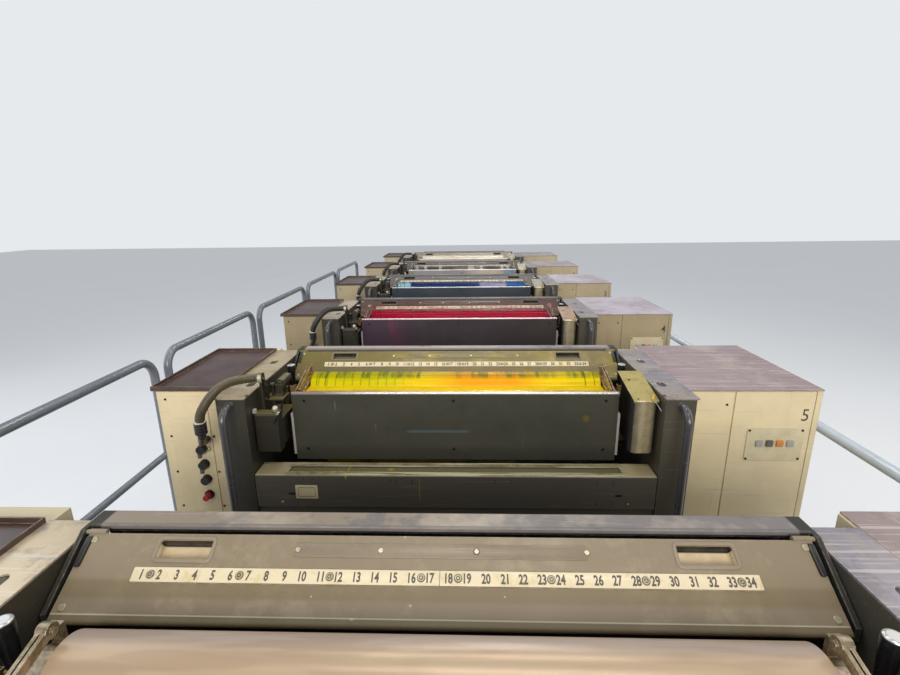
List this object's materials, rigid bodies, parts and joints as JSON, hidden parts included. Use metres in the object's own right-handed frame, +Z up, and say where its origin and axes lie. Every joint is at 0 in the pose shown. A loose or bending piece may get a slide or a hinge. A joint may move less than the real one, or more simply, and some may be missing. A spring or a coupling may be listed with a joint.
{
  "type": "six-colour sheet-fed offset printing press",
  "caption": "Row of printing units between dark side frames and cream side cabinets, with open ink fountains under numbered guards, a feeder, a delivery, walkways and galleries.",
  "frame": {"origin": "on the floor, on the centre line of the press, midway between the third and the fourth printing unit", "axes": "+Z up, +Y along the row from the delivery to the feeder, against the travel of the sheets, +X to the side of the wide cabinets"},
  "size_m": [2.978, 13.3155, 1.804],
  "materials": {
    "frame_paint": "satin, chipped",
    "cream_paint": "satin",
    "cap_steel": "worn",
    "handle_paint": "satin",
    "tray_paint": "ink-stained",
    "button_plastic": "gloss",
    "top_paint": "worn, glossy",
    "key_panel_paint": "satin",
    "fountain_paint": "satin, ink-stained",
    "trough_steel": "inked",
    "cheek_brass": "inked",
    "rubber_roller": "satin",
    "cylinder_steel": "ground",
    "cover_paint": "satin, dusty",
    "aluminium_cover": "brushed, stained",
    "gearbox_paint": "satin, ink-stained",
    "hose_rubber": "matt",
    "fitting_plastic": "matt",
    "roller_steel": "polished",
    "roller_yellow": "wet ink",
    "roller_magenta": "wet ink",
    "roller_cyan": "wet ink",
    "lever_plastic": "satin",
    "tread_plate": "embossed",
    "gallery_paint": "satin",
    "rail_steel": "satin",
    "rail_pale": "gloss",
    "table_steel": "brushed",
    "head_paint": "satin",
    "board_wood": "worn"
  },
  "bodies": {
    "root": {"side_frames_left": "frame_paint", "side_frames_right": "frame_paint", "frame_caps": "cap_steel", "frame_stays": "frame_paint", "grab_handles": "handle_paint", "left_cabinets": "cream_paint", "left_cabinet_panels": "cream_paint", "left_trays": "tray_paint", "push_buttons": "button_plastic", "right_cabinets": "cream_paint", "right_inner_panels": "cream_paint", "right_outer_panels": "cream_paint", "right_cabinet_tops": "top_paint", "key_panels": "key_panel_paint", "fountain_fronts": "fountain_paint", "fountain_troughs": "trough_steel", "fountain_cheeks": "cheek_brass", "ink_rollers": "rubber_roller", "printing_cylinders": "cylinder_steel", "sheet_cylinders": "cylinder_steel", "top_covers": "cover_paint", "rear_covers": "frame_paint", "front_boxes": "frame_paint", "front_guards": "frame_paint", "zone_drive_covers": "aluminium_cover", "left_gearboxes": "gearbox_paint", "cable_hoses": "hose_rubber", "hose_fittings": "fitting_plastic", "footboards": "tread_plate", "base_covers_left": "cream_paint", "base_covers_right": "cream_paint", "gallery_decks": "gallery_paint", "left_handrails": "rail_steel", "right_handrail": "rail_pale", "feeder_frames": "cream_paint", "feed_table": "table_steel", "feeder_head": "head_paint", "pile_boards": "board_wood", "delivery_frames": "cream_paint", "delivery_hood": "head_paint"},
    "duct_roller_1": {"duct_roller_1": "roller_steel"},
    "roller_guard_1": {"roller_guard_1": "cover_paint"},
    "throw_levers_1": {"throw_levers_1": "lever_plastic"},
    "duct_roller_2": {"duct_roller_2": "roller_steel"},
    "roller_guard_2": {"roller_guard_2": "cover_paint"},
    "throw_levers_2": {"throw_levers_2": "lever_plastic"},
    "duct_roller_3": {"duct_roller_3": "roller_cyan"},
    "roller_guard_3": {"roller_guard_3": "cover_paint"},
    "throw_levers_3": {"throw_levers_3": "lever_plastic"},
    "duct_roller_4": {"duct_roller_4": "roller_magenta"},
    "roller_guard_4": {"roller_guard_4": "cover_paint"},
    "throw_levers_4": {"throw_levers_4": "lever_plastic"},
    "duct_roller_5": {"duct_roller_5": "roller_yellow"},
    "roller_guard_5": {"roller_guard_5": "cover_paint"},
    "throw_levers_5": {"throw_levers_5": "lever_plastic"},
    "duct_roller_6": {"duct_roller_6": "roller_steel"},
    "roller_guard_6": {"roller_guard_6": "cover_paint"},
    "throw_levers_6": {"throw_levers_6": "lever_plastic"}
  },
  "joints": [
    {"name": "duct_roller_1_turn", "type": "hinge", "parent": "root", "child": "duct_roller_1", "pos_m": [0, 2.652, 1.664], "axis": [1, 0, 0], "continuous": true},
    {"name": "roller_guard_1_hinge", "type": "hinge", "parent": "root", "child": "roller_guard_1", "pos_m": [0, 2.858, 1.738], "axis": [-1, 0, 0], "range_deg": [0, 70]},
    {"name": "throw_levers_1_turn", "type": "hinge", "parent": "root", "child": "throw_levers_1", "pos_m": [0, 2.66, 1.548], "axis": [1, 0, 0], "range_deg": [0, 12]},
    {"name": "duct_roller_2_turn", "type": "hinge", "parent": "root", "child": "duct_roller_2", "pos_m": [0, 1.532, 1.664], "axis": [1, 0, 0], "continuous": true},
    {"name": "roller_guard_2_hinge", "type": "hinge", "parent": "root", "child": "roller_guard_2", "pos_m": [0, 1.738, 1.738], "axis": [-1, 0, 0], "range_deg": [0, 70]},
    {"name": "throw_levers_2_turn", "type": "hinge", "parent": "root", "child": "throw_levers_2", "pos_m": [0, 1.54, 1.548], "axis": [1, 0, 0], "range_deg": [0, 12]},
    {"name": "duct_roller_3_turn", "type": "hinge", "parent": "root", "child": "duct_roller_3", "pos_m": [0, 0.412, 1.664], "axis": [1, 0, 0], "continuous": true},
    {"name": "roller_guard_3_hinge", "type": "hinge", "parent": "root", "child": "roller_guard_3", "pos_m": [0, 0.618, 1.738], "axis": [-1, 0, 0], "range_deg": [0, 70]},
    {"name": "throw_levers_3_turn", "type": "hinge", "parent": "root", "child": "throw_levers_3", "pos_m": [0, 0.42, 1.548], "axis": [1, 0, 0], "range_deg": [0, 12]},
    {"name": "duct_roller_4_turn", "type": "hinge", "parent": "root", "child": "duct_roller_4", "pos_m": [0, -0.708, 1.664], "axis": [1, 0, 0], "continuous": true},
    {"name": "roller_guard_4_hinge", "type": "hinge", "parent": "root", "child": "roller_guard_4", "pos_m": [0, -0.502, 1.738], "axis": [-1, 0, 0], "range_deg": [0, 70]},
    {"name": "throw_levers_4_turn", "type": "hinge", "parent": "root", "child": "throw_levers_4", "pos_m": [0, -0.7, 1.548], "axis": [1, 0, 0], "range_deg": [0, 12]},
    {"name": "duct_roller_5_turn", "type": "hinge", "parent": "root", "child": "duct_roller_5", "pos_m": [0, -1.828, 1.664], "axis": [1, 0, 0], "continuous": true},
    {"name": "roller_guard_5_hinge", "type": "hinge", "parent": "root", "child": "roller_guard_5", "pos_m": [0, -1.622, 1.738], "axis": [-1, 0, 0], "range_deg": [0, 70]},
    {"name": "throw_levers_5_turn", "type": "hinge", "parent": "root", "child": "throw_levers_5", "pos_m": [0, -1.82, 1.548], "axis": [1, 0, 0], "range_deg": [0, 12]},
    {"name": "duct_roller_6_turn", "type": "hinge", "parent": "root", "child": "duct_roller_6", "pos_m": [0, -2.948, 1.664], "axis": [1, 0, 0], "continuous": true},
    {"name": "roller_guard_6_hinge", "type": "hinge", "parent": "root", "child": "roller_guard_6", "pos_m": [0, -2.742, 1.738], "axis": [-1, 0, 0], "range_deg": [0, 70]},
    {"name": "throw_levers_6_turn", "type": "hinge", "parent": "root", "child": "throw_levers_6", "pos_m": [0, -2.94, 1.548], "axis": [1, 0, 0], "range_deg": [0, 12]}
  ]
}
